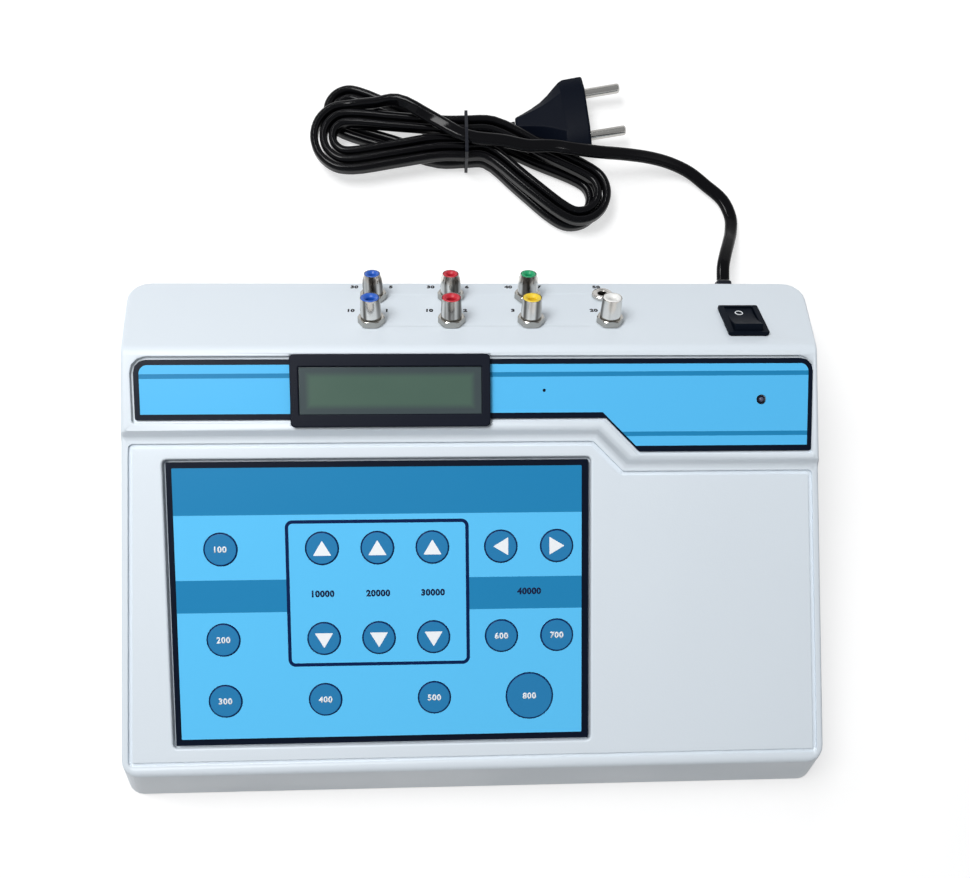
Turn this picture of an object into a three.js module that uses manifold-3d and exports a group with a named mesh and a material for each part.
// A desktop audiometer: a moulded case with a sloping deck, a membrane keypad, a character display,
// seven phono sockets, a microphone socket and a rocker switch on the rear slope, and a flat mains
// lead tied in a hank. Millimetres, +Z up, the operator at -Y, the origin on the table under the
// middle of the case.

import * as THREE from 'three';
import { mergeVertices } from 'three/addons/utils/BufferGeometryUtils.js';
import Module from 'manifold-3d';

const wasm = await Module();
wasm.setup();

// Fits
const fitGap = 0.3;
const overrun = 1;
const weldDistance = 1e-4;
const skin = 0.01;

// Case: the deck slopes down to the operator and the rear panel slopes down to the back
const caseWidth = 280;
const caseLift = 3;
const ridgeHeight = 68.9;
const deckSlope = 10;
const deckLength = 154.5;
const rearSlope = 41.4;
const rearPanelLength = 47;
const sideDraft = 13.8;
const frontRake = 17.9;
const rearRake = 9.1;
const ridgeRadius = 5;
const endEdgeRadius = 3;
const sideEdgeRadius = 1.3;
const frontCornerRadius = 6;
const rearCornerRadius = 8.5;
const innerCornerRadius = 4;
const innerEdgeRadius = 1;
const wallThickness = 3;
const ceilingDepth = 8.1;
const ridgeArcSteps = 4;
const cornerArcSteps = 5;
const edgeArcSteps = 4;

// Raised upper tier of the deck, measured down the slope from the ridge
const tierRise = 2.5;
const stepRun = 2.6;
const stepLeft = 31.3;
const stepRight = 42.3;
const stepChamferX = 43.8;

// Fine groove that frames the lower deck
const grooveWidth = 1.5;
const grooveDepth = 0.9;
const grooveMargin = 2.3;
const grooveStepGap = 1.95;
const grooveFrontGap = 3.6;
const grooveCornerRadius = 1.7;

// Header overlay in its recess
const headerLeftMargin = 3.7;
const headerRightMargin = 1.2;
const headerTop = 3.9;
const headerBottomLeft = 25;
const headerBottomRight = 37.2;
const headerChamferX = 47.1;
const headerCornerRadius = 4.5;
const headerRecessDepth = 1.3;
const headerRecessMargin = 1;
const headerSideLip = 0.4;
const headerDrop = 0.5;
const overlayThickness = 0.5;
const trimmerX = 24.8;
const trimmerDown = 15.1;
const trimmerRadius = 0.6;

// Display
const displayX = -30;
const displayDown = 15.1;
const bezelWidth = 70.7;
const bezelHeight = 25.5;
const bezelCornerRadius = 1.6;
const bezelProud = 2;
const bezelBevel = 0.7;
const windowWidth = 64.6;
const windowHeight = 16.7;
const windowThickness = 1;
const windowSink = 0.5;
const windowLedge = 1.2;
const skirtSideSetback = 0.55;
const skirtEndSetback = 2.75;
const skirtDepth = 7;
const skirtWall = 1.2;
const glassDrop = 0.9;
const displayBoardWidth = 80;
const displayBoardHeight = 32;
const displayBoardThickness = 1.6;

// Power lamp
const lampMargin = 18.8;
const lampDown = 18.7;
const lampRadius = 1.5;
const lampProud = 0.6;
const lampLength = 7.5;
const lampFlange = 0.4;

// Keypad: overlay, key caps and membrane in one recess
const keypadLeft = -111.1;
const keypadRight = 41.2;
const keypadTop = 39.7;
const keypadBottom = 143.5;
const keypadRecessMargin = 0.9;
const keypadRecessDepth = 2.6;
const keypadDrop = 0.5;
const keypadCornerRadius = 0.8;
const membraneThickness = 1;
const keyRadius = 5.9;
const largeKeyRadius = 8.6;
const keyTravel = 0.4;
const keyStopGap = 0.1;
const keyProud = 0.25;
const keyEdge = 0.3;
const keyColumnPitch = 20;
const frequencyX = -56;
const intensityX = frequencyX + keyColumnPitch;
const maskingX = intensityX + keyColumnPitch;
const talkX = -92.4;
const leftX = 9;
const rightX = 29.5;
const keyRowTop = 71.2;
const keyRowMiddle = 104.3;
const keyRowBottom = 127;

// Phono sockets on the rear panel, measured down the panel from the ridge
const socketColumns = 4;
const socketFirstX = -37.3;
const socketPitch = 29.3;
const socketRowNear = 17.3;
const socketRowFar = 35.2;
const socketHeight = 10.3;
const socketTopRadiusNear = 3.5;
const socketTopRadiusFar = 3;
const socketBarrelRadius = 3.8;
const socketShoulderNear = 2;
const socketShoulderFar = 6;
const socketRim = 0.5;
const socketBoreDepth = 7;
const socketNutAcross = 9.2;
const socketNutRadius = 4.9;
const socketNutHeight = 2.6;
const socketThreadRadius = 3;
const socketTail = 9;
const insertWall = 1.3;
const insertDish = 0.5;

// Microphone socket
const micX = 50.2;
const micDown = 36.4;
const micNutRadius = 4;
const micNutHeight = 1.8;
const micBoreRadius = 1.75;
const micThreadRadius = 2.9;
const micBodySide = 9;
const micBodyDepth = 11;

// Rocker switch
const switchMargin = 23.2;
const switchDown = 17.2;
const switchWidth = 15;
const switchLength = 21;
const switchCornerRadius = 1.6;
const switchFlange = 1.8;
const switchNeckWidth = 13;
const switchNeckLength = 19.2;
const switchDepth = 14;
const wellWidth = 10.9;
const wellLength = 17.6;
const wellDepth = 9;
const rockerTilt = 10;
const rockerPivotDepth = 1.5;
const rockerEndRadius = 8.5;
const rockerRiseAngle = 30;
const rockerFallAngle = 18;
const rockerDip = 1.1;
const terminalWidth = 4.8;
const terminalThickness = 0.8;
const terminalLength = 6;

// Base plate, feet and screws
const plateThickness = 3;
const footInsetX = 38;
const footInsetY = 24;
const footRadius = 7;
const footEdge = 0.6;
const screwInset = 18;
const screwHeadRadius = 3.2;
const screwHeadHeight = 1.6;
const screwRadius = 1.5;
const screwLength = 10;
const screwSlotWidth = 0.9;
const screwSlotDepth = 0.8;
const screwSlotLength = 4;
const bossRadius = 4.5;

// Circuit board on its standoffs, and the mains transformer
const boardX = -12;
const boardY = -28;
const boardWidth = 206;
const boardDepth = 96;
const boardThickness = 1.6;
const standoffHeight = 6;
const standoffRadius = 3;
const standoffInset = 6;
const processorSide = 24;
const processorHeight = 3;
const headerBlockWidth = 42;
const headerBlockDepth = 8;
const headerBlockHeight = 8;
const capacitorRadius = 6;
const capacitorHeight = 14;
const transformerX = 60;
const transformerY = 42;
const coreWidth = 42;
const coreDepth = 16;
const coreHeight = 35;
const windingWidth = 25;
const windingDepth = 31;
const windingHeight = 24;
const mountTabWidth = 56;
const mountTabThickness = 1.2;

// Flat mains lead
const cordWidth = 5.4;
const cordThickness = 3.3;
const glandX = 107.5;
const glandHeight = 12.5;
const glandFlangeWidth = 13;
const glandFlangeHeight = 10;
const glandFlangeThickness = 1.6;
const glandNeckWidth = 9;
const glandNeckHeight = 6.5;
const glandTail = 15;
const glandNose = 4.5;
const glandCornerRadius = 1.5;
const glandWall = 0.8;

// Hank: loops of the lead folded in two layers and drawn in at a tie
const hankY = 170.5;
const strandPitch = 3.9;
const layerPitch = 5.9;
const floorGap = 0.3;
const waistLift = 1.3;
const waistReach = 40;
const waistBend = 8;
const waistLateBend = 12;
const upperLeftReach = 59.5;
const upperLeftRise = 15;
const upperLeftRadius = 10;
const lowerLeftReach = 64.4;
const lowerLeftRise = 0.8;
const lowerRightReach = 57.3;
const lowerRightRise = -23.2;
const upperRightReach = 60;
const upperRightRise = -23.2;
const rightRadius = 12.2;
const lowerLeftRadius = 14.2;
const topStrandHeight = 16;
const topStrandX = 31;
const topStrandY = 164.4;
const tieWidth = 1.3;
const tieThickness = 0.9;

// Plug
const plugX = 52.5;
const plugY = 183.2;
const plugTurn = 7;
const plugWidth = 33;
const plugThickness = 13.7;
const plugShoulder = 11;
const plugLength = 31;
const plugTailWidth = 7;
const plugTailThickness = 7;
const plugEdge = 3;
const plugBevel = 3.3;
const pinPitch = 19;
const pinRadius = 2;
const pinLength = 15.5;
const pinRoot = 4;

// Facets
const fineSides = 28;
const roundSides = 20;
const smallSides = 12;
const filletSteps = 3;

// Colours
const colours = {
  case: 0xdde3e9,
  base: 0xc9ced4,
  rubber: 0x24262a,
  steel: 0xb9bcc0,
  nickel: 0xc6c4bd,
  sky: 0x5fbcf0,
  key: 0x2b78ad,
  membrane: 0x11213f,
  bezel: 0x1c2230,
  glass: 0x6f8478,
  display: 0x55706a,
  lamp: 0x8d8f9a,
  switch: 0x20262f,
  board: 0x1f5a3a,
  core: 0x6d6f72,
  cord: 0x1b1b1e,
  blue: 0x2a63b8,
  red: 0xb8283a,
  yellow: 0xe8c53a,
  white: 0xf1f0ea,
  green: 0x1f9a63,
};

const radians = THREE.MathUtils.degToRad;
const lerp = THREE.MathUtils.lerp;

// Solids: three.js geometries become closed manifold solids and back

function toSolid(geometry) {
  const bare = geometry.clone();
  bare.deleteAttribute('normal');
  bare.deleteAttribute('uv');
  const merged = mergeVertices(bare, weldDistance);
  const places = merged.getAttribute('position');
  const index = merged.getIndex().array;
  const corners = [];
  let volume = 0;
  const [a, b, c] = [new THREE.Vector3(), new THREE.Vector3(), new THREE.Vector3()];
  for (let i = 0; i < index.length; i += 3) {
    const [p, q, r] = [index[i], index[i + 1], index[i + 2]];
    if (p === q || q === r || r === p) continue;
    corners.push(p, q, r);
    a.fromBufferAttribute(places, p);
    b.fromBufferAttribute(places, q);
    c.fromBufferAttribute(places, r);
    volume += a.dot(b.cross(c));
  }
  if (volume < 0) corners.reverse();
  return new wasm.Manifold(new wasm.Mesh({
    numProp: 3,
    vertProperties: new Float32Array(places.array),
    triVerts: new Uint32Array(corners),
  }));
}

function toGeometry(solid) {
  const mesh = solid.getMesh();
  const geometry = new THREE.BufferGeometry();
  geometry.setAttribute('position', new THREE.BufferAttribute(mesh.vertProperties, mesh.numProp));
  geometry.setIndex(new THREE.BufferAttribute(mesh.triVerts, 1));
  geometry.computeVertexNormals();
  return geometry;
}

const united = (...geometries) => geometries.map(toSolid).reduce((sum, next) => sum.add(next));
const cutFrom = (solid, ...geometries) =>
  geometries.map(toSolid).reduce((rest, cutter) => rest.subtract(cutter), solid);

function moved(geometry, x, y, z) {
  geometry.translate(x, y, z);
  return geometry;
}

function placed(geometry, object) {
  object.updateWorldMatrix(true, false);
  geometry.applyMatrix4(object.matrixWorld);
  return geometry;
}

// A box by its middle in plan and its lowest height
function block(width, depth, height, x = 0, y = 0, z = 0) {
  return moved(new THREE.BoxGeometry(width, depth, height), x, y, z + height / 2);
}

// A solid of revolution about +Z, from [radius, height] pairs
function turned(profile, sides) {
  const points = profile.map(([radius, height]) => new THREE.Vector2(radius, height));
  return new THREE.LatheGeometry(points, sides).rotateX(Math.PI / 2);
}

function disc(radius, low, high, sides) {
  return turned([[0, low], [radius, low], [radius, high], [0, high]], sides);
}

// An outline through corners, each rounded by an arc of its own radius
function roundedShape(corners, radii) {
  const shape = new THREE.Shape();
  const points = corners.map(([x, y]) => new THREE.Vector2(x, y));
  points.forEach((corner, i) => {
    const radius = Array.isArray(radii) ? radii[i] : radii;
    const before = points[(i + points.length - 1) % points.length];
    const after = points[(i + 1) % points.length];
    const toBefore = before.clone().sub(corner).normalize();
    const toAfter = after.clone().sub(corner).normalize();
    const half = Math.acos(THREE.MathUtils.clamp(toBefore.dot(toAfter), -1, 1)) / 2;
    const reach = radius / Math.tan(half);
    const start = corner.clone().addScaledVector(toBefore, reach);
    const end = corner.clone().addScaledVector(toAfter, reach);
    const bisector = toBefore.clone().add(toAfter).normalize();
    const centre = corner.clone().addScaledVector(bisector, radius / Math.sin(half));
    const from = start.clone().sub(centre).angle();
    const to = end.clone().sub(centre).angle();
    const turn = Math.atan2(Math.sin(to - from), Math.cos(to - from));
    for (let step = 0; step <= filletSteps; step += 1) {
      const angle = from + turn * step / filletSteps;
      const x = centre.x + radius * Math.cos(angle);
      const y = centre.y + radius * Math.sin(angle);
      if (i === 0 && step === 0) shape.moveTo(x, y);
      else shape.lineTo(x, y);
    }
  });
  return shape;
}

// The corners moved outwards by a distance, keeping every side parallel
function offsetCorners(corners, distance) {
  return corners.map((corner, i) => {
    const before = corners[(i + corners.length - 1) % corners.length];
    const after = corners[(i + 1) % corners.length];
    const along = new THREE.Vector2(corner[0] - before[0], corner[1] - before[1]).normalize();
    const next = new THREE.Vector2(after[0] - corner[0], after[1] - corner[1]).normalize();
    const normal = new THREE.Vector2(along.y, -along.x);
    const nextNormal = new THREE.Vector2(next.y, -next.x);
    const miter = normal.clone().add(nextNormal);
    const scale = distance * 2 / miter.lengthSq();
    return [corner[0] + miter.x * scale, corner[1] + miter.y * scale];
  });
}

const boxCorners = (left, right, low, high) => [[left, low], [right, low], [right, high], [left, high]];
const centredCorners = (width, depth) => boxCorners(-width / 2, width / 2, -depth / 2, depth / 2);

// A prism between two heights
function prism(shape, low, high) {
  const geometry = new THREE.ExtrudeGeometry(shape, { depth: high - low, bevelEnabled: false });
  return moved(geometry, 0, 0, low);
}

// A solid through stacked closed rings that all have the same number of points
function loft(rings) {
  const count = rings[0].length;
  const geometry = new THREE.BufferGeometry();
  const places = rings.flat().flatMap((point) => point.toArray());
  const index = [];
  for (let level = 0; level + 1 < rings.length; level += 1) {
    for (let i = 0; i < count; i += 1) {
      const next = (i + 1) % count;
      const [a, b] = [level * count + i, level * count + next];
      index.push(a, b, b + count, a, b + count, a + count);
    }
  }
  const flat = rings[0].map((point) => new THREE.Vector2(point.x, point.y));
  const top = (rings.length - 1) * count;
  for (const [a, b, c] of THREE.ShapeUtils.triangulateShape(flat, [])) {
    index.push(a, c, b, top + a, top + b, top + c);
  }
  geometry.setAttribute('position', new THREE.Float32BufferAttribute(places, 3));
  geometry.setIndex(index);
  return geometry;
}

const ringAt = (corners, height) => corners.map(([x, y]) => new THREE.Vector3(x, y, height));

// Case envelope

const deckTangent = Math.tan(radians(deckSlope));
const rearTangent = Math.tan(radians(rearSlope));
const sideTangent = Math.tan(radians(sideDraft));
const frontTangent = Math.tan(radians(frontRake));
const backTangent = Math.tan(radians(rearRake));

const deckCornerDrop = deckLength * Math.sin(radians(deckSlope)) + tierRise * Math.cos(radians(deckSlope));
const deckCornerRun = deckLength * Math.cos(radians(deckSlope)) - tierRise * Math.sin(radians(deckSlope));
const rearCornerDrop = rearPanelLength * Math.sin(radians(rearSlope));
const frontRun = deckCornerRun + (ridgeHeight - deckCornerDrop - caseLift) * frontTangent;
const rearRun = rearPanelLength * Math.cos(radians(rearSlope))
  + (ridgeHeight - rearCornerDrop - caseLift) * backTangent;
const ridgeY = (frontRun - rearRun) / 2;
const baseFront = ridgeY - frontRun;
const baseRear = ridgeY + rearRun;

// The closed envelope of the case: walls moved in by inset, the deck and rear panel lowered, and
// its top edge rounded by one radius along the sides and another along the front and back
function caseEnvelope({ inset = 0, deckDrop = 0, rearDrop = 0, sideRadius, endRadius, floor = caseLift }) {
  const deckLine = -deckDrop / Math.cos(radians(deckSlope));
  const rearLine = -rearDrop / Math.cos(radians(rearSlope));
  const meetY = ridgeY + (rearLine - deckLine) / (deckTangent + rearTangent);
  const meetZ = ridgeHeight + deckLine + (meetY - ridgeY) * deckTangent;
  const halfBend = radians(deckSlope + rearSlope) / 2;
  const reach = ridgeRadius * Math.tan(halfBend);
  const arcY = meetY - reach * Math.cos(radians(deckSlope)) + ridgeRadius * Math.sin(radians(deckSlope));
  const arcZ = meetZ - reach * Math.sin(radians(deckSlope)) - ridgeRadius * Math.cos(radians(deckSlope));
  const arcStart = meetY - reach * Math.cos(radians(deckSlope));
  const arcEnd = meetY + reach * Math.cos(radians(rearSlope));

  const topAt = (y) => {
    if (y <= arcStart) return meetZ + (y - meetY) * deckTangent;
    if (y >= arcEnd) return meetZ - (y - meetY) * rearTangent;
    return arcZ + Math.sqrt(ridgeRadius ** 2 - (y - arcY) ** 2);
  };
  const slopeAt = (y) => {
    if (y <= arcStart) return deckTangent;
    if (y >= arcEnd) return -rearTangent;
    return -(y - arcY) / Math.sqrt(ridgeRadius ** 2 - (y - arcY) ** 2);
  };
  const sideInset = inset / Math.cos(radians(sideDraft));
  const halfWidthAt = (z) => caseWidth / 2 - (z - caseLift) * sideTangent - sideInset;
  const frontAt = (z) => baseFront + (z - caseLift) * frontTangent + inset / Math.cos(radians(frontRake));
  const rearAt = (z) => baseRear - (z - caseLift) * backTangent - inset / Math.cos(radians(rearRake));
  const frontRadius = Math.max(frontCornerRadius - inset, innerCornerRadius);
  const rearRadius = Math.max(rearCornerRadius - inset, innerCornerRadius);

  const stations = [];
  for (let step = 0; step <= cornerArcSteps; step += 1) {
    const angle = Math.PI / 2 * (step / cornerArcSteps - 1);
    stations.push({
      angle,
      rake: frontTangent,
      placeAt: (z) => [
        halfWidthAt(z) - frontRadius + frontRadius * Math.cos(angle),
        frontAt(z) + frontRadius + frontRadius * Math.sin(angle),
      ],
    });
  }
  for (let step = 0; step <= ridgeArcSteps; step += 1) {
    const tilt = lerp(radians(deckSlope), -radians(rearSlope), step / ridgeArcSteps);
    const y = arcY - ridgeRadius * Math.sin(tilt);
    stations.push({ angle: 0, rake: 0, placeAt: (z) => [halfWidthAt(z), y] });
  }
  for (let step = 0; step <= cornerArcSteps; step += 1) {
    const angle = Math.PI / 2 * step / cornerArcSteps;
    stations.push({
      angle,
      rake: backTangent,
      placeAt: (z) => [
        halfWidthAt(z) - rearRadius + rearRadius * Math.cos(angle),
        rearAt(z) - rearRadius + rearRadius * Math.sin(angle),
      ],
    });
  }

  const rings = Array.from({ length: edgeArcSteps + 2 }, () => []);
  for (const { angle, rake, placeAt } of stations) {
    let z = caseLift;
    for (let pass = 0; pass < 12; pass += 1) z = topAt(placeAt(z)[1]);
    const [x, y] = placeAt(z);
    const draft = Math.atan(sideTangent * Math.cos(angle) + rake * Math.abs(Math.sin(angle)));
    const fall = Math.atan(-slopeAt(y) * Math.sin(angle));
    const radius = lerp(sideRadius, endRadius, Math.sin(angle) ** 2);
    const share = Math.cos(draft + fall);
    const centreOut = radius * (Math.sin(draft) - Math.cos(fall)) / share;
    const centreUp = radius * (Math.sin(fall) - Math.cos(draft)) / share;
    rings[0].push(new THREE.Vector3(...placeAt(floor), floor));
    for (let step = 0; step <= edgeArcSteps; step += 1) {
      const turn = lerp(draft, Math.PI / 2 - fall, step / edgeArcSteps);
      const out = centreOut + radius * Math.cos(turn);
      const up = centreUp + radius * Math.sin(turn);
      rings[step + 1].push(new THREE.Vector3(x + out * Math.cos(angle), y + out * Math.sin(angle), z + up));
    }
  }
  const mirrored = (point) => new THREE.Vector3(-point.x, point.y, point.z);
  const closed = rings.map((half) => [...half, ...half.map(mirrored).reverse()]);
  return strippedLoft(closed);
}

// A loft whose end caps are strips between mirrored pairs of points
function strippedLoft(rings) {
  const count = rings[0].length;
  const index = [];
  for (let level = 0; level + 1 < rings.length; level += 1) {
    for (let i = 0; i < count; i += 1) {
      const [a, b] = [level * count + i, level * count + (i + 1) % count];
      index.push(a, b, b + count, a, b + count, a + count);
    }
  }
  const top = (rings.length - 1) * count;
  for (let i = 0; i + 1 < count / 2; i += 1) {
    const [a, b, c, d] = [i, i + 1, count - 2 - i, count - 1 - i];
    index.push(a, c, b, a, d, c, top + a, top + b, top + c, top + a, top + c, top + d);
  }
  const geometry = new THREE.BufferGeometry();
  const places = rings.flat().flatMap((point) => point.toArray());
  geometry.setAttribute('position', new THREE.Float32BufferAttribute(places, 3));
  geometry.setIndex(index);
  return geometry;
}

const cornerNames = ['front_left', 'front_right', 'rear_left', 'rear_right'];
const cornerPlaces = (x, y) => [[-x, -y], [x, -y], [-x, y], [x, y]];
const screwPlaces = cornerPlaces(caseWidth / 2 - screwInset, baseRear - screwInset);
const footPlaces = cornerPlaces(caseWidth / 2 - footInsetX, baseRear - footInsetY);

// Groups and meshes

const audiometer = new THREE.Group();
const deck = new THREE.Group();
deck.position.set(0, ridgeY, ridgeHeight);
deck.rotation.x = radians(deckSlope);
const rearPanel = new THREE.Group();
rearPanel.position.copy(deck.position);
rearPanel.rotation.x = -radians(rearSlope);
const rearWall = new THREE.Group();
rearWall.position.set(glandX, baseRear - (glandHeight - caseLift) * backTangent, glandHeight);
rearWall.rotation.x = -(Math.PI / 2 - radians(rearRake));
audiometer.add(deck, rearPanel, rearWall);

function addPiece(name, shape, colour, roughness, metalness, parent = audiometer) {
  const geometry = shape.isBufferGeometry ? toGeometry(toSolid(shape)) : toGeometry(shape);
  const material = new THREE.MeshStandardMaterial({ color: colour, roughness, metalness });
  const mesh = new THREE.Mesh(geometry, material);
  mesh.name = name;
  parent.add(mesh);
  return mesh;
}

// Outlines on the deck, with x across and y up the slope

const ridgeHalfWidth = caseWidth / 2 - (ridgeHeight - caseLift) * sideTangent;
const headerLeft = headerLeftMargin - ridgeHalfWidth;
const headerRight = ridgeHalfWidth - headerRightMargin;
const lampX = headerRight - lampMargin;
const switchX = ridgeHalfWidth - switchMargin;
const headerCorners = [
  [headerLeft, -headerBottomLeft],
  [headerChamferX, -headerBottomLeft],
  [headerChamferX + headerBottomRight - headerBottomLeft, -headerBottomRight],
  [headerRight, -headerBottomRight],
  [headerRight, -headerTop],
  [headerLeft, -headerTop],
];
const headerRadii = (grow) => [
  keypadCornerRadius, keypadCornerRadius, keypadCornerRadius, keypadCornerRadius,
  headerCornerRadius + grow, headerCornerRadius + grow,
];
const keypadCorners = boxCorners(keypadLeft, keypadRight, -keypadBottom, -keypadTop);

const keys = [
  ['key_talk_over', talkX, keyRowTop, keyRadius],
  ['key_frequency_up', frequencyX, keyRowTop, keyRadius],
  ['key_intensity_up', intensityX, keyRowTop, keyRadius],
  ['key_masking_up', maskingX, keyRowTop, keyRadius],
  ['key_left', leftX, keyRowTop, keyRadius],
  ['key_right', rightX, keyRowTop, keyRadius],
  ['key_save', talkX, keyRowMiddle, keyRadius],
  ['key_frequency_down', frequencyX, keyRowMiddle, keyRadius],
  ['key_intensity_down', intensityX, keyRowMiddle, keyRadius],
  ['key_masking_down', maskingX, keyRowMiddle, keyRadius],
  ['key_menu', leftX, keyRowMiddle, keyRadius],
  ['key_select', rightX, keyRowMiddle, keyRadius],
  ['key_ear_shift', talkX, keyRowBottom, keyRadius],
  ['key_range', frequencyX, keyRowBottom, keyRadius],
  ['key_tone', maskingX, keyRowBottom, keyRadius],
  ['key_stimulus', (leftX + rightX) / 2, keyRowBottom, largeKeyRadius],
];

const sockets = [
  ['blue', 0, 'near'], ['red', 1, 'near'], ['yellow', 2, 'near'], ['white', 3, 'near'],
  ['blue', 0, 'far'], ['red', 1, 'far'], ['green', 2, 'far'],
].map(([colour, column, row], i) => ({
  name: `socket_${i + 1}`,
  colour,
  x: socketFirstX + column * socketPitch,
  down: row === 'near' ? socketRowNear : socketRowFar,
  topRadius: row === 'near' ? socketTopRadiusNear : socketTopRadiusFar,
  shoulder: row === 'near' ? socketShoulderNear : socketShoulderFar,
}));

const bezelBottom = fitGap - headerDrop;
const skirtWidth = bezelWidth - 2 * skirtSideSetback;
const skirtHeight = bezelHeight - 2 * skirtEndSetback;
const windowTop = bezelProud - windowSink;

// Top cover

const stepWall = (rise) => {
  const back = stepRun * (rise + tierRise) / tierRise;
  const side = caseWidth;
  const chamferEnd = stepChamferX + stepRight - stepLeft;
  const corners = [
    [-side, -side], [side, -side], [side, -stepRight],
    [chamferEnd, -stepRight], [stepChamferX, -stepLeft], [-side, -stepLeft],
  ];
  const moved = offsetCorners(corners, back);
  return ringAt(moved, rise);
};

function lowerDeckCut() {
  const region = placed(loft([stepWall(-2 * tierRise), stepWall(2 * tierRise)]), deck);
  const below = caseEnvelope({
    inset: -skin, deckDrop: tierRise, rearDrop: tierRise,
    sideRadius: sideEdgeRadius, endRadius: endEdgeRadius, floor: caseLift - overrun,
  });
  return toSolid(region).subtract(toSolid(below));
}

function grooveCut() {
  const halfWidthAt = (down) => {
    const z = ridgeHeight - down * Math.sin(radians(deckSlope)) - tierRise;
    return caseWidth / 2 - (z - caseLift) * sideTangent - grooveMargin;
  };
  const [topLeft, topRight] = [stepLeft + grooveStepGap, stepRight + grooveStepGap];
  const bottom = deckLength - grooveFrontGap;
  const chamferStart = stepChamferX - grooveStepGap / 2;
  const corners = [
    [-halfWidthAt(bottom), -bottom], [halfWidthAt(bottom), -bottom],
    [halfWidthAt(topRight), -topRight], [chamferStart + topRight - topLeft, -topRight],
    [chamferStart, -topLeft], [-halfWidthAt(topLeft), -topLeft],
  ];
  const shape = roundedShape(corners, grooveCornerRadius);
  shape.holes.push(roundedShape(offsetCorners(corners, -grooveWidth), grooveCornerRadius - grooveWidth));
  return placed(prism(shape, -tierRise - grooveDepth, -tierRise + overrun), deck);
}

function topCover() {
  const whole = caseEnvelope({ sideRadius: sideEdgeRadius, endRadius: endEdgeRadius });
  const outer = toSolid(whole).subtract(lowerDeckCut());
  const cavity = caseEnvelope({
    inset: wallThickness, deckDrop: ceilingDepth, rearDrop: wallThickness,
    sideRadius: innerEdgeRadius, endRadius: innerEdgeRadius, floor: caseLift - overrun,
  });
  let cover = cutFrom(outer, cavity);

  const within = toSolid(caseEnvelope({
    inset: wallThickness / 2, deckDrop: ceilingDepth - overrun, rearDrop: wallThickness / 2,
    sideRadius: innerEdgeRadius, endRadius: innerEdgeRadius,
  }));
  for (const [x, y] of screwPlaces) {
    const bossFoot = caseLift + plateThickness + fitGap;
    const boss = moved(disc(bossRadius, bossFoot, ridgeHeight, smallSides), x, y, 0);
    cover = cover.add(toSolid(boss).intersect(within));
    const pilotTop = caseLift + plateThickness + screwLength;
    cover = cutFrom(cover, moved(disc(screwRadius + fitGap, caseLift, pilotTop, smallSides), x, y, 0));
  }

  const keypadRecess = prism(
    roundedShape(offsetCorners(keypadCorners, keypadRecessMargin), keypadCornerRadius + keypadRecessMargin),
    -tierRise - keypadRecessDepth, overrun);
  const headerRim = offsetCorners(headerCorners, headerRecessMargin)
    .map(([x, y]) => [Math.min(x, headerRight + headerSideLip), y]);
  const headerRecess = prism(
    roundedShape(headerRim, headerRadii(headerRecessMargin)), -headerRecessDepth, overrun);
  const displayHole = moved(
    block(skirtWidth + 2 * fitGap, skirtHeight + 2 * fitGap, ceilingDepth + 2 * overrun),
    displayX, -displayDown, -ceilingDepth - overrun);
  const bezelSeat = block(
    bezelWidth + 2 * fitGap, bezelHeight + 2 * fitGap, headerDrop + overrun,
    displayX, -displayDown, bezelBottom - fitGap);
  const lampHole = moved(
    disc(lampRadius + fitGap, -ceilingDepth - overrun, overrun, smallSides), lampX, -lampDown, 0);
  const deckCuts = [keypadRecess, headerRecess, displayHole, bezelSeat, lampHole];
  cover = cutFrom(cover, ...deckCuts.map((cut) => placed(cut, deck)));
  cover = cutFrom(cover, grooveCut());

  const panelHoles = sockets.map(({ x, down }) =>
    moved(disc(socketThreadRadius + fitGap, -wallThickness - overrun, overrun, smallSides), x, down, 0));
  panelHoles.push(moved(
    disc(micThreadRadius + fitGap, -wallThickness - overrun, overrun, smallSides), micX, micDown, 0));
  panelHoles.push(block(
    switchNeckWidth + 2 * fitGap, switchNeckLength + 2 * fitGap, wallThickness + 2 * overrun,
    switchX, switchDown, -wallThickness - overrun));
  cover = cutFrom(cover, ...panelHoles.map((cut) => placed(cut, rearPanel)));

  const glandHole = block(
    glandNeckWidth + 2 * fitGap, glandNeckHeight + 2 * fitGap, wallThickness + 2 * overrun,
    0, 0, -wallThickness - overrun);
  return cutFrom(cover, placed(glandHole, rearWall));
}

// Base plate with its standoffs, feet and screws

const plateTop = caseLift + plateThickness;
const boardBottom = plateTop + standoffHeight + fitGap;

function basePlate() {
  const inset = wallThickness + fitGap + plateThickness * frontTangent;
  const halfWidth = caseWidth / 2 - inset;
  const corners = [
    [-halfWidth, baseFront + inset], [halfWidth, baseFront + inset],
    [halfWidth, baseRear - inset], [-halfWidth, baseRear - inset],
  ];
  const [front, rear] = [frontCornerRadius - fitGap, rearCornerRadius - fitGap];
  let plate = toSolid(prism(roundedShape(corners, [front, front, rear, rear]), caseLift, plateTop));
  for (const [x, y] of cornerPlaces(boardWidth / 2 - standoffInset, boardDepth / 2 - standoffInset)) {
    const standoff = disc(standoffRadius, plateTop - overrun, plateTop + standoffHeight, smallSides);
    plate = plate.add(toSolid(moved(standoff, boardX + x, boardY + y, 0)));
  }
  for (const [x, y] of screwPlaces) {
    const headTop = caseLift + screwHeadHeight + 2 * fitGap;
    const seat = disc(screwHeadRadius + fitGap, caseLift - overrun, headTop, smallSides);
    const hole = disc(screwRadius + fitGap, caseLift, plateTop + overrun, smallSides);
    plate = cutFrom(plate, moved(seat, x, y, 0), moved(hole, x, y, 0));
  }
  return plate;
}

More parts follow.
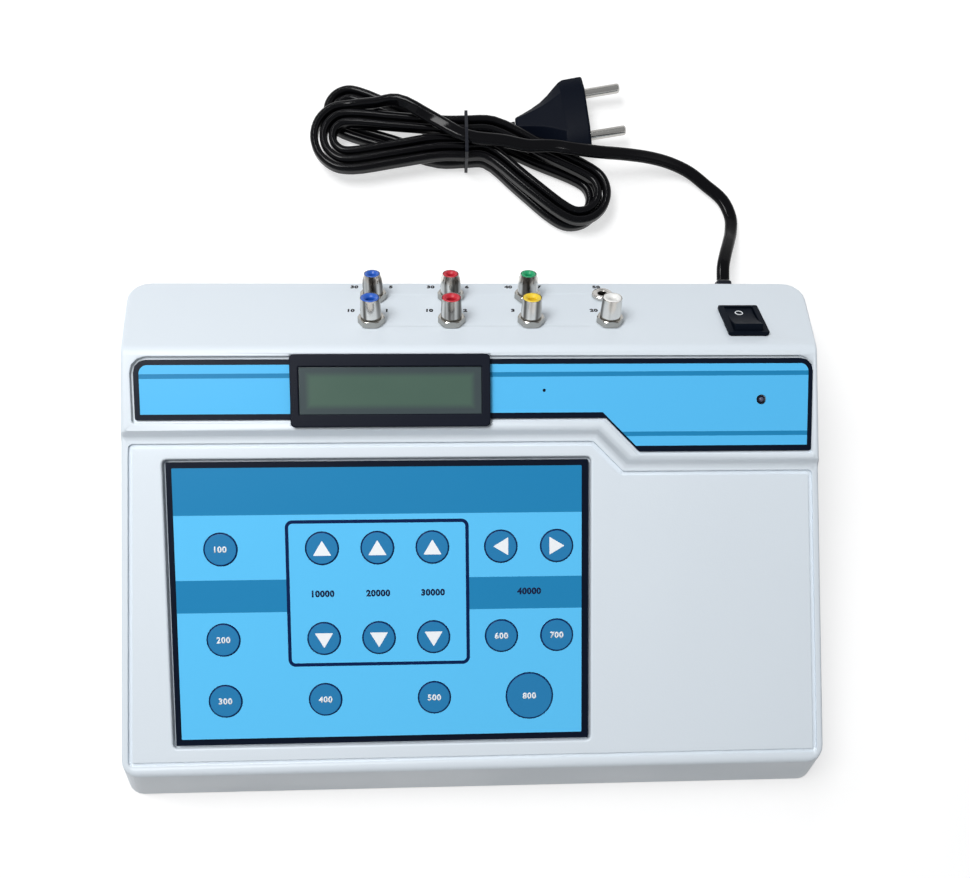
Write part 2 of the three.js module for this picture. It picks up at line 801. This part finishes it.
function caseScrew() {
  const head = caseLift + fitGap;
  const shaft = turned([
    [0, head], [screwHeadRadius, head], [screwHeadRadius, head + screwHeadHeight],
    [screwRadius, head + screwHeadHeight], [screwRadius, head + screwHeadHeight + screwLength - screwRadius],
    [0, head + screwHeadHeight + screwLength],
  ], smallSides);
  const slot = block(screwSlotLength, screwSlotWidth, screwSlotDepth + overrun, 0, 0, head - overrun);
  const cross = block(screwSlotWidth, screwSlotLength, screwSlotDepth + overrun, 0, 0, head - overrun);
  return cutFrom(toSolid(shaft), slot, cross);
}

function foot() {
  const top = caseLift - fitGap;
  return turned([
    [0, 0], [footRadius - footEdge, 0], [footRadius, footEdge], [footRadius, top], [0, top],
  ], roundSides);
}

addPiece('top_cover', topCover(), colours.case, 0.45, 0);
addPiece('base_plate', basePlate(), colours.base, 0.55, 0);
footPlaces.forEach(([x, y], i) => {
  addPiece(`foot_${cornerNames[i]}`, foot(), colours.rubber, 0.8, 0).position.set(x, y, 0);
});
screwPlaces.forEach(([x, y], i) => {
  addPiece(`case_screw_${cornerNames[i]}`, caseScrew(), colours.steel, 0.4, 0.9).position.set(x, y, 0);
});

// Header overlay, display and power lamp

function headerOverlay() {
  const low = -headerDrop - overlayThickness;
  const sheet = toSolid(prism(roundedShape(headerCorners, headerRadii(0)), low, -headerDrop));
  return cutFrom(
    sheet,
    block(
      skirtWidth + 2 * fitGap, skirtHeight + 2 * fitGap, 2 * overrun,
      displayX, -displayDown, low - overrun / 2),
    moved(disc(lampRadius + fitGap, low - overrun, overrun, smallSides), lampX, -lampDown, 0),
    moved(disc(trimmerRadius, low - overrun, overrun, smallSides), trimmerX, -trimmerDown, 0));
}

function displayBezel() {
  const corners = centredCorners(bezelWidth, bezelHeight);
  const rim = prism(roundedShape(corners, bezelCornerRadius), bezelBottom, bezelProud - bezelBevel);
  const crownOuter = roundedShape(corners, bezelCornerRadius).getPoints().map(({ x, y }) => [x, y]);
  const crownInner = roundedShape(offsetCorners(corners, -bezelBevel), bezelCornerRadius - bezelBevel)
    .getPoints().map(({ x, y }) => [x, y]);
  const crown = loft([
    ringAt(crownOuter, bezelProud - 2 * bezelBevel),
    ringAt(crownOuter, bezelProud - bezelBevel), ringAt(crownInner, bezelProud)]);
  const skirt = block(skirtWidth, skirtHeight, skirtDepth + bezelBevel, 0, 0, bezelBottom - skirtDepth);
  const seatFloor = windowTop - windowThickness - fitGap;
  const seat = block(windowWidth, windowHeight, bezelProud + overrun, 0, 0, seatFloor);
  const sight = block(
    windowWidth - 2 * windowLedge, windowHeight - 2 * windowLedge, 2 * bezelProud,
    0, 0, bezelBottom - overrun);
  const back = block(
    skirtWidth - 2 * skirtWall, skirtHeight - 2 * skirtWall, skirtDepth + overrun,
    0, 0, bezelBottom - skirtDepth - overrun);
  return cutFrom(united(rim, crown, skirt), seat, sight, back);
}

function displayWindow() {
  return block(
    windowWidth - 2 * fitGap, windowHeight - 2 * fitGap, windowThickness, 0, 0, windowTop - windowThickness);
}

function displayModule() {
  const boardTop = -ceilingDepth - fitGap;
  const board = block(
    displayBoardWidth, displayBoardHeight, displayBoardThickness, 0, 0, boardTop - displayBoardThickness);
  const tank = block(
    skirtWidth - 2 * skirtWall - 2 * fitGap, skirtHeight - 2 * skirtWall - 2 * fitGap,
    -boardTop - glassDrop + bezelBottom, 0, 0, boardTop - fitGap);
  return united(board, tank);
}

function powerLamp() {
  const top = lampProud - headerDrop;
  return turned([
    [0, top - lampLength], [lampRadius, top - lampLength], [lampRadius, top - lampRadius],
    [lampRadius * Math.cos(radians(45)), top - lampRadius * (1 - Math.sin(radians(45)))], [0, top],
  ], smallSides);
}

addPiece('header_overlay', headerOverlay(), colours.sky, 0.35, 0, deck);
const display = [
  addPiece('display_bezel', displayBezel(), colours.bezel, 0.5, 0, deck),
  addPiece('display_window', displayWindow(), colours.glass, 0.1, 0, deck),
  addPiece('display_module', displayModule(), colours.display, 0.4, 0, deck),
];
for (const piece of display) piece.position.set(displayX, -displayDown, 0);
addPiece('power_lamp', powerLamp(), colours.lamp, 0.2, 0, deck).position.set(lampX, -lampDown, 0);

// Keypad

const keypadSurface = -tierRise - keypadDrop;
const membraneBottom = -tierRise - keypadRecessDepth + fitGap;
const membraneTop = membraneBottom + membraneThickness;

function circle(x, y, radius) {
  const path = new THREE.Path();
  path.setFromPoints(Array.from({ length: fineSides }, (_, i) => {
    const angle = 2 * Math.PI * i / fineSides;
    return new THREE.Vector2(x + radius * Math.cos(angle), y + radius * Math.sin(angle));
  }));
  return path;
}

function keypadOverlay() {
  const shape = roundedShape(keypadCorners, keypadCornerRadius);
  for (const [, x, down, radius] of keys) shape.holes.push(circle(x, -down, radius + fitGap));
  return prism(shape, keypadSurface - overlayThickness, keypadSurface);
}

function keyCap(radius) {
  const low = membraneTop + keyTravel + keyStopGap;
  const high = keypadSurface + keyProud;
  return turned([
    [0, low], [radius, low], [radius, high - keyEdge / 2], [radius - keyEdge, high], [0, high],
  ], fineSides);
}

addPiece('keypad_overlay', keypadOverlay(), colours.sky, 0.35, 0, deck);
const membrane = prism(roundedShape(keypadCorners, keypadCornerRadius), membraneBottom, membraneTop);
addPiece('keypad_membrane', membrane, colours.membrane, 0.5, 0, deck);
for (const [name, x, down, radius] of keys) {
  addPiece(name, keyCap(radius), colours.key, 0.35, 0, deck).position.set(x, -down, 0);
}

// Sockets

function hexagon(across, low, high) {
  const radius = across / 2 / Math.cos(Math.PI / 6);
  return disc(radius, low, high, 6);
}

function socketShell(topRadius, shoulder) {
  const bore = topRadius - socketRim;
  const barrel = turned([
    [0, -socketTail], [socketThreadRadius, -socketTail], [socketThreadRadius, fitGap],
    [socketBarrelRadius, fitGap], [socketBarrelRadius, socketHeight - shoulder],
    [topRadius, socketHeight], [bore, socketHeight],
    [bore, socketHeight - socketBoreDepth], [0, socketHeight - socketBoreDepth],
  ], roundSides);
  const nut = toSolid(hexagon(socketNutAcross, fitGap, socketNutHeight))
    .intersect(toSolid(disc(socketNutRadius, fitGap, socketNutHeight, roundSides)));
  return toSolid(barrel).add(nut);
}

function socketInsert(topRadius) {
  const outer = topRadius - socketRim - fitGap;
  const low = socketHeight - socketBoreDepth + fitGap;
  return turned([
    [outer - insertWall, low], [outer, low], [outer, socketHeight],
    [outer - insertDish, socketHeight], [outer - insertWall, socketHeight - insertDish],
    [outer - insertWall, low],
  ], roundSides);
}

for (const { name, colour, x, down, topRadius, shoulder } of sockets) {
  addPiece(`${name}_shell`, socketShell(topRadius, shoulder), colours.nickel, 0.25, 0.95, rearPanel)
    .position.set(x, down, 0);
  addPiece(`${name}_insert`, socketInsert(topRadius), colours[colour], 0.4, 0, rearPanel)
    .position.set(x, down, 0);
}

function micSocket() {
  const bush = turned([
    [0, -wallThickness - micBodyDepth], [micThreadRadius, -wallThickness - micBodyDepth],
    [micThreadRadius, fitGap], [micNutRadius, fitGap], [micNutRadius, micNutHeight - micNutHeight / 4],
    [micNutRadius - micNutHeight / 4, micNutHeight], [0, micNutHeight],
  ], roundSides);
  const body = block(micBodySide, micBodySide, micBodyDepth, 0, 0, -wallThickness - fitGap - micBodyDepth);
  return cutFrom(united(bush, body), disc(micBoreRadius, -micBodyDepth, micNutHeight + overrun, smallSides));
}

addPiece('mic_socket', micSocket(), colours.nickel, 0.3, 0.9, rearPanel).position.set(micX, micDown, 0);

// Rocker switch: off at rest, so its far end is down

function switchBody() {
  const outline = roundedShape(centredCorners(switchWidth, switchLength), switchCornerRadius);
  const flange = prism(outline, fitGap, fitGap + switchFlange);
  const neckHeight = switchDepth + fitGap + switchFlange / 2;
  const neck = block(switchNeckWidth, switchNeckLength, neckHeight, 0, 0, -switchDepth);
  const terminals = [-1, 0, 1].map((place) => block(
    terminalWidth, terminalThickness, terminalLength + overrun,
    0, place * wellLength / 3, -switchDepth - terminalLength));
  const wellFloor = fitGap + switchFlange - wellDepth;
  const well = block(wellWidth, wellLength, wellDepth + overrun + switchFlange, 0, 0, wellFloor);
  return cutFrom(united(flange, neck, ...terminals), well);
}

function rocker() {
  const pivot = fitGap + switchFlange - rockerPivotDepth;
  const onArc = (angle) => new THREE.Vector2(
    rockerEndRadius * Math.cos(radians(angle)), pivot + rockerEndRadius * Math.sin(radians(angle)));
  const half = [-rockerFallAngle, 0, rockerRiseAngle / 2, rockerRiseAngle].map(onArc);
  const dip = new THREE.Vector2(0, onArc(rockerRiseAngle).y - rockerDip);
  const mirrored = half.map(({ x, y }) => new THREE.Vector2(-x, y)).reverse();
  const profile = new THREE.Shape([...half, dip, ...mirrored]);
  const width = wellWidth - 2 * fitGap;
  const geometry = new THREE.ExtrudeGeometry(profile, { depth: width, bevelEnabled: false });
  moved(geometry, 0, 0, -width / 2);
  geometry.rotateY(Math.PI / 2).rotateX(Math.PI / 2);
  moved(geometry, 0, 0, -pivot);
  geometry.rotateX(-radians(rockerTilt));
  return moved(geometry, 0, 0, pivot);
}

addPiece('switch_body', switchBody(), colours.switch, 0.4, 0, rearPanel)
  .position.set(switchX, switchDown, 0);
addPiece('switch_rocker', rocker(), colours.switch, 0.35, 0, rearPanel)
  .position.set(switchX, switchDown, 0);

// Circuit board and transformer

function mainBoard() {
  const top = boardBottom + boardThickness - overrun / 2;
  const capacitor = (y) => moved(
    disc(capacitorRadius, top, top + capacitorHeight, smallSides), boardWidth / 3, y, 0);
  return united(
    block(boardWidth, boardDepth, boardThickness, 0, 0, boardBottom),
    block(processorSide, processorSide, processorHeight + overrun / 2, -boardWidth / 6, 0, top),
    block(headerBlockWidth, headerBlockDepth, headerBlockHeight, -boardWidth / 6, boardDepth / 3, top),
    block(headerBlockWidth, headerBlockDepth, headerBlockHeight, boardWidth / 5, boardDepth / 3, top),
    capacitor(0), capacitor(-boardDepth / 5));
}

function transformer() {
  const low = plateTop + fitGap;
  return united(
    block(mountTabWidth, coreDepth, mountTabThickness, 0, 0, low),
    block(coreWidth, coreDepth, coreHeight, 0, 0, low),
    block(windingWidth, windingDepth, windingHeight, 0, 0, low + (coreHeight - windingHeight) / 2));
}

addPiece('main_board', mainBoard(), colours.board, 0.6, 0).position.set(boardX, boardY, 0);
addPiece('transformer', transformer(), colours.core, 0.5, 0.6).position.set(transformerX, transformerY, 0);

// Mains lead

const cordHalfWidth = cordWidth / 2;
const cordHalfThickness = cordThickness / 2;

// A path that puts each ring of its tube on one of its points and rolls the section about itself
class CordPath extends THREE.CatmullRomCurve3 {
  constructor(points, rollAt) {
    super(points, false, 'centripetal');
    this.rollAt = rollAt;
  }

  getPointAt(share, target) {
    return this.getPoint(share, target);
  }

  computeFrenetFrames(segments) {
    const frames = { tangents: [], normals: [], binormals: [] };
    for (let i = 0; i <= segments; i += 1) {
      const tangent = this.getTangent(i / segments);
      const side = new THREE.Vector3(-tangent.y, tangent.x, 0).normalize();
      const up = new THREE.Vector3().crossVectors(tangent, side).normalize();
      const roll = this.rollAt(i / segments);
      frames.tangents.push(tangent);
      frames.normals.push(side.clone().applyAxisAngle(tangent, roll));
      frames.binormals.push(up.clone().applyAxisAngle(tangent, roll));
    }
    return frames;
  }
}

const vector = (x, y, z) => new THREE.Vector3(x, y, z);

// The hank. Each half turn crosses the waist in a slot of its own, then rounds one of four lobes.
const layerLow = floorGap + cordHalfWidth;
const layerHigh = layerLow + layerPitch;
const lobeOf = (side, reach, rise, radius, z) => ({ side, reach, rise, radius, z });
const upperLeft = lobeOf(-1, upperLeftReach, upperLeftRise, upperLeftRadius, layerLow);
const lowerRight = lobeOf(1, lowerRightReach, lowerRightRise, rightRadius, layerLow);
const lowerLeft = lobeOf(-1, lowerLeftReach, lowerLeftRise, lowerLeftRadius, layerHigh);
const upperRight = lobeOf(1, upperRightReach, upperRightRise, rightRadius, layerHigh);
const halfTurns = [
  { lobe: upperLeft, ring: 0, enter: 1 },
  { lobe: lowerRight, ring: 0, enter: -1 },
  { lobe: upperLeft, ring: 1, enter: 1 },
  { lobe: lowerRight, ring: 1, enter: -1 },
  { lobe: lowerLeft, ring: 2, enter: -1 },
  { lobe: upperRight, ring: 1, enter: 1 },
  { lobe: lowerLeft, ring: 1, enter: -1 },
  { lobe: upperRight, ring: 0, enter: 1 },
  { lobe: lowerLeft, ring: 0, enter: -1 },
];
const slotShares = [2, -2, 1, -1, 0, 1, -1, 2, -2, 3];
const arcSteps = 6;

const liftAt = (x) => waistLift * Math.max(0, 1 - Math.abs(x) / waistReach);

// One side of a half turn: where it bends at the waist, and where it meets its lobe's circle
function strandOf({ side, reach, rise, radius }, ring, slot, sign) {
  const centre = new THREE.Vector2(side * (reach - radius), hankY + rise);
  const bendX = sign * rise < 0 ? waistLateBend : waistBend;
  const outer = new THREE.Vector2(side * bendX, hankY + (slot + ring * sign) * strandPitch);
  const toCentre = centre.clone().sub(outer);
  const heading = toCentre.angle() + sign * side * Math.asin(radius / toCentre.length());
  const along = new THREE.Vector2(Math.cos(heading), Math.sin(heading));
  const normal = new THREE.Vector2(-along.y, along.x).multiplyScalar(sign * side);
  const slant = Math.atan2(along.y, side * along.x);
  const bend = outer.clone();
  bend.x += side * ring * sign * strandPitch * Math.tan(slant / 2);
  bend.y -= ring * sign * strandPitch;
  const touch = centre.clone().addScaledVector(normal, radius - ring * strandPitch);
  return { centre, bend, touch, angle: normal.angle() };
}

// Two-pin plug, lying on its tapered side, its pins along +X of its own group
const plugPitch = Math.atan((plugThickness - plugTailThickness) / 2 / plugLength);
const plug = new THREE.Group();
plug.position.set(plugX, plugY, floorGap + plugThickness / 2 * Math.cos(plugPitch));
plug.rotation.set(0, -plugPitch, radians(plugTurn), 'ZYX');
audiometer.add(plug);
plug.updateWorldMatrix(true, false);
const plugTail = plug.localToWorld(vector(-plugLength - fitGap, 0, 0));
const plugLead = plug.localToWorld(vector(-plugLength - fitGap - cordWidth, 0, 0));
const hankEnd = vector(topStrandX, topStrandY, topStrandHeight);

function hankPoints() {
  const points = [plugTail, plugLead];
  halfTurns.forEach(({ lobe, ring, enter }, i) => {
    const { side, radius, z } = lobe;
    const at = ({ x, y }) => vector(x, y, z + liftAt(x));
    const before = i === 0 ? z : (halfTurns[i - 1].lobe.z + z) / 2;
    points.push(vector(0, hankY + slotShares[i] * strandPitch, before + waistLift));
    const incoming = strandOf(lobe, ring, slotShares[i], enter);
    const leaving = strandOf(lobe, ring, slotShares[i + 1], -enter);
    points.push(at(incoming.bend), at(incoming.bend.clone().lerp(incoming.touch, 1 / 2)));
    const sweep = THREE.MathUtils.euclideanModulo(
      -side * enter * (leaving.angle - incoming.angle), 2 * Math.PI) * -side * enter;
    for (let step = 0; step <= arcSteps; step += 1) {
      const angle = incoming.angle + sweep * step / arcSteps;
      const around = radius - ring * strandPitch;
      points.push(at({
        x: incoming.centre.x + around * Math.cos(angle),
        y: incoming.centre.y + around * Math.sin(angle),
      }));
    }
    if (i + 1 < halfTurns.length) {
      points.push(at(leaving.touch.clone().lerp(leaving.bend, 1 / 2)), at(leaving.bend));
    } else {
      const climb = leaving.touch.clone().lerp(leaving.bend, 1 / 4);
      const crest = leaving.touch.clone().lerp(leaving.bend, 1 / 2);
      points.push(
        vector(climb.x, climb.y, (z + topStrandHeight) / 2), vector(crest.x, crest.y, topStrandHeight));
    }
  });
  const crossing = vector(0, hankY - strandPitch / 2, topStrandHeight);
  const last = points[points.length - 1];
  points.push(last.clone().lerp(crossing, 1 / 2), crossing, crossing.clone().lerp(hankEnd, 1 / 2));
  points.push(vector(topStrandX - cordWidth, topStrandY, topStrandHeight), hankEnd);
  return points;
}

const hankRoute = hankPoints();
const hankSteps = hankRoute.length - 1;
const rollRings = 3;
const hankRoll = (share) =>
  Math.PI / 2 * THREE.MathUtils.smoothstep((1 - share) * hankSteps, rollRings, 2 * rollRings);
const hankPath = new CordPath(hankRoute, hankRoll);

const hexShares = [[1, 0], [0.6, 1], [-0.6, 1], [-1, 0], [-0.6, -1], [0.6, -1]];
const ovalShares = [
  [1, 0.4], [0.72, 1], [0, 1], [-0.72, 1], [-1, 0.4],
  [-1, -0.4], [-0.72, -1], [0, -1], [0.72, -1], [1, -0.4],
];
const cordSection = (shares) =>
  new THREE.Shape(shares.map(([x, y]) => new THREE.Vector2(x * cordHalfWidth, y * cordHalfThickness)));

const hank = new THREE.ExtrudeGeometry(cordSection(hexShares), {
  steps: hankSteps, extrudePath: hankPath, bevelEnabled: false,
});

// The least distance between edges of the tube that lie more than a fold apart along it
function leastSelfGap(path, steps, shares) {
  const frames = path.computeFrenetFrames(steps);
  const lines = [...shares, ...shares.map(([x, y], i) => {
    const [nextX, nextY] = shares[(i + 1) % shares.length];
    return [(x + nextX) / 2, (y + nextY) / 2];
  })];
  const rings = Array.from({ length: steps + 1 }, (_, i) => {
    const centre = path.getPointAt(i / steps);
    return lines.map(([x, y]) => centre.clone()
      .addScaledVector(frames.normals[i], x * cordHalfWidth)
      .addScaledVector(frames.binormals[i], y * cordHalfThickness));
  });
  const apart = 3;
  const reach = 2 * waistReach;
  let least = Infinity;
  for (let i = 0; i < steps; i += 1) {
    for (let j = i + apart; j < steps; j += 1) {
      const far = rings[i][0].distanceTo(rings[j][0]);
      if (far > reach) continue;
      for (let m = 0; m < lines.length; m += 1) {
        for (let n = 0; n < lines.length; n += 1) {
          const gap = segmentGap(rings[i][m], rings[i + 1][m], rings[j][n], rings[j + 1][n]);
          if (gap < least) least = gap;
        }
      }
    }
  }
  return least;
}

function segmentGap(a, b, c, d) {
  const [u, v, w] = [b.clone().sub(a), d.clone().sub(c), a.clone().sub(c)];
  const [uu, uv, vv, uw, vw] = [u.dot(u), u.dot(v), v.dot(v), u.dot(w), v.dot(w)];
  const spread = uu * vv - uv * uv;
  let s = spread > weldDistance ? THREE.MathUtils.clamp((uv * vw - vv * uw) / spread, 0, 1) : 0;
  const t = THREE.MathUtils.clamp((uv * s + vw) / vv, 0, 1);
  s = THREE.MathUtils.clamp((uv * t - uw) / uu, 0, 1);
  return w.addScaledVector(u, s).addScaledVector(v, -t).length();
}

console.log(`hank: ${hankPath.getLength().toFixed(0)} mm of cord, least gap to itself ${
  leastSelfGap(hankPath, hankSteps, hexShares).toFixed(2)} mm`);

addPiece('cord_hank', hank, colours.cord, 0.35, 0);

// The free stretch, from the gland over the table to the hank
rearWall.updateWorldMatrix(true, false);
const wallOut = vector(0, 0, 1).transformDirection(rearWall.matrixWorld);
const noseReach = glandFlangeThickness + glandNose + 2 * fitGap;
const cordStart = rearWall.position.clone().addScaledVector(wallOut, noseReach);
const tableZ = floorGap + cordHalfThickness;
const cordRoute = [
  cordStart,
  cordStart.clone().addScaledVector(wallOut, cordWidth),
  vector(109.2, 118.6, 12.6),
  vector(112, 125.6, 8.6),
  vector(114.6, 132.6, 4.2),
  vector(115.4, 140, tableZ),
  vector(112.2, 147.6, tableZ),
  vector(104.8, 154.2, 2.3),
  vector(97.4, 159.4, 3.6),
  vector(88.5, 161.9, 6.6),
  vector(79, 162.6, 10),
  vector(67.6, 162.2, 13.6),
  vector(56.2, 161.6, 16.4),
  vector(45.6, 162.6, 16.9),
  vector(topStrandX + fitGap + cordWidth, topStrandY, topStrandHeight),
  vector(topStrandX + fitGap, topStrandY, topStrandHeight),
];
const freePath = new CordPath(cordRoute, () => 0);
addPiece('mains_cord', new THREE.ExtrudeGeometry(cordSection(ovalShares), {
  steps: cordRoute.length - 1, extrudePath: freePath, bevelEnabled: false,
}), colours.cord, 0.35, 0);
console.log(`free cord: ${freePath.getLength().toFixed(0)} mm`);

// Strain relief through the rear wall
function cordGland() {
  const rounded = (width, height) => roundedShape(centredCorners(width, height), glandCornerRadius)
    .getPoints().map(({ x, y }) => [x, y]);
  const flange = prism(
    roundedShape(centredCorners(glandFlangeWidth, glandFlangeHeight), glandCornerRadius),
    fitGap, fitGap + glandFlangeThickness);
  const neck = block(glandNeckWidth, glandNeckHeight, glandTail + glandFlangeThickness, 0, 0, -glandTail);
  const root = fitGap + glandFlangeThickness;
  const nose = loft([
    ringAt(rounded(glandNeckWidth, glandNeckHeight), root - glandFlangeThickness / 2),
    ringAt(rounded(cordWidth + 2 * glandWall, cordThickness + 2 * glandWall), root + glandNose),
  ]);
  return united(flange, neck, nose);
}

addPiece('cord_gland', cordGland(), colours.cord, 0.6, 0, rearWall);

// Tie round the waist of the hank
function hankTie() {
  const edge = Math.max(...slotShares.slice(0, -1)) * strandPitch + cordHalfThickness + fitGap;
  const low = layerLow + waistLift - cordHalfWidth - fitGap;
  const high = layerHigh + waistLift + cordHalfWidth + fitGap;
  const crown = topStrandHeight + cordHalfThickness + fitGap;
  const crest = cordHalfWidth + strandPitch / 2;
  const corners = [[-edge, low], [edge, low], [edge, high], [0, crown], [-2 * crest, crown], [-edge, high]];
  const shape = roundedShape(offsetCorners(corners, tieThickness), tieThickness);
  shape.holes.push(new THREE.Path(corners.map(([y, z]) => new THREE.Vector2(y, z))));
  const geometry = new THREE.ExtrudeGeometry(shape, { depth: tieWidth, bevelEnabled: false });
  moved(geometry, 0, 0, -tieWidth / 2);
  geometry.rotateX(Math.PI / 2).rotateZ(Math.PI / 2);
  return moved(geometry, 0, hankY, 0);
}

addPiece('hank_tie', hankTie(), colours.cord, 0.6, 0);

const plugOutlineShares = [[0, 1], [0.36, 0.98], [0.56, 0.76], [0.78, 0.45], [1, 0.2]];

function plugBody() {
  const half = plugWidth / 2;
  const side = plugOutlineShares.map(([back, out]) => [-back * plugLength, out * half]);
  const outline = [...side, ...side.map(([x, y]) => [x, -y]).reverse()];
  const middle = plugThickness / 2;
  const ring = (inward, height) => outline.map(([x, y]) => {
    const tail = -x / plugLength;
    const thin = lerp(1, plugTailThickness / plugThickness, tail);
    return vector(x, y - Math.sign(y) * Math.min(inward, Math.abs(y) / 2), height * thin);
  });
  return loft([
    ring(plugEdge, -middle), ring(0, plugBevel - middle),
    ring(0, middle - plugBevel), ring(plugEdge, middle),
  ]);
}

function plugPin() {
  const pin = turned([
    [0, fitGap], [pinRadius, fitGap], [pinRadius, pinLength - pinRadius / 2],
    [pinRadius / 2, pinLength], [0, pinLength],
  ], smallSides);
  return pin.rotateY(Math.PI / 2);
}

addPiece('plug_body', plugBody(), colours.cord, 0.5, 0, plug);
addPiece('plug_pin_upper', plugPin(), colours.nickel, 0.25, 0.95, plug).position.set(0, pinPitch / 2, 0);
addPiece('plug_pin_lower', plugPin(), colours.nickel, 0.25, 0.95, plug).position.set(0, -pinPitch / 2, 0);

export default audiometer;
